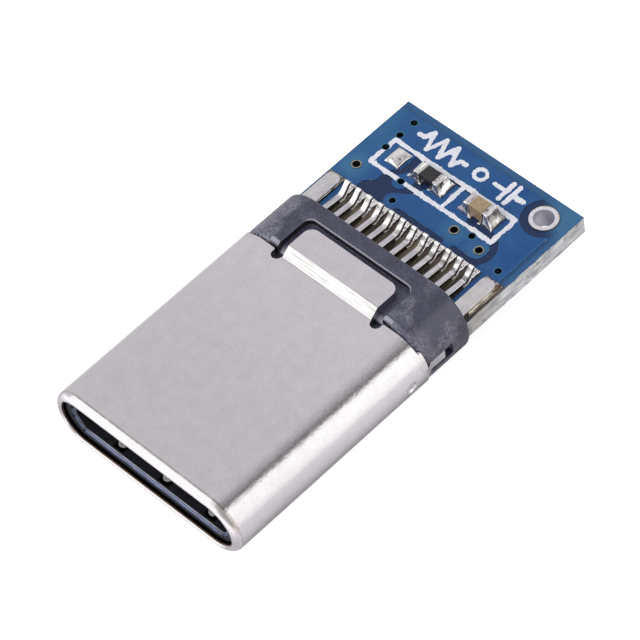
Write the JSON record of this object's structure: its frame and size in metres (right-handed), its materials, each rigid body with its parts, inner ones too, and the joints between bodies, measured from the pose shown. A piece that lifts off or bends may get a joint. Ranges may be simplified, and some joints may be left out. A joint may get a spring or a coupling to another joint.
{
  "type": "usb-c plug",
  "caption": "Reversible flat plug with a drawn metal shell, a moulded collar and a small blue circuit board soldered to its tails.",
  "frame": {"origin": "centre of the plug's front face, on the mating axis, midway between the flat sides", "axes": "+Y from the mouth back to the board's rear edge, +Z out of the board's component side, +X across the plug"},
  "size_m": [0.0082, 0.0162, 0.003],
  "materials": {
    "nickel_shell": "satin nickel plate, drawn steel",
    "housing_plastic": "moulded, satin black",
    "spring_steel": "bright spring steel",
    "carrier_plastic": "moulded, matt black",
    "plate_steel": "stamped steel, tinned legs",
    "collar_plastic": "moulded, slate black, mottled",
    "board_laminate": "blue coating on glass laminate",
    "tinned_copper": "tinned, slightly dull",
    "gold_plating": "gold flash",
    "white_print": "matt printed ink",
    "resistor_glaze": "glossy black glaze",
    "chip_metal": "tinned ends",
    "capacitor_ceramic": "tan fired ceramic",
    "contact_alloy": "tin over copper alloy",
    "solder": "bright solder"
  },
  "bodies": {
    "root": {"outer_shell": "nickel_shell", "front_housing": "housing_plastic", "shield_spring_top": "spring_steel", "shield_spring_bottom": "spring_steel", "carrier_top_row": "carrier_plastic", "carrier_bottom_row": "carrier_plastic", "middle_plate": "plate_steel", "rear_collar": "collar_plastic", "circuit_board": "board_laminate", "lands_top": "tinned_copper", "lands_bottom": "tinned_copper", "bore_plating": "tinned_copper", "via_plating": "gold_plating", "printed_boxes": "white_print", "resistor_body": "resistor_glaze", "resistor_ends": "chip_metal", "capacitor_body": "capacitor_ceramic", "capacitor_ends": "chip_metal", "solder_top": "solder", "solder_bottom": "solder", "chip_solder": "solder", "contact_top_1": "contact_alloy", "contact_top_2": "contact_alloy", "contact_top_3": "contact_alloy", "contact_top_4": "contact_alloy", "contact_top_5": "contact_alloy", "contact_top_6": "contact_alloy", "contact_top_7": "contact_alloy", "contact_top_8": "contact_alloy", "contact_top_9": "contact_alloy", "contact_top_10": "contact_alloy", "contact_top_11": "contact_alloy", "contact_top_12": "contact_alloy", "contact_bottom_1": "contact_alloy", "contact_bottom_2": "contact_alloy", "contact_bottom_3": "contact_alloy", "contact_bottom_4": "contact_alloy", "contact_bottom_5": "contact_alloy", "contact_bottom_6": "contact_alloy", "contact_bottom_7": "contact_alloy", "contact_bottom_8": "contact_alloy", "contact_bottom_9": "contact_alloy", "contact_bottom_10": "contact_alloy", "contact_bottom_11": "contact_alloy", "contact_bottom_12": "contact_alloy"}
  },
  "joints": []
}
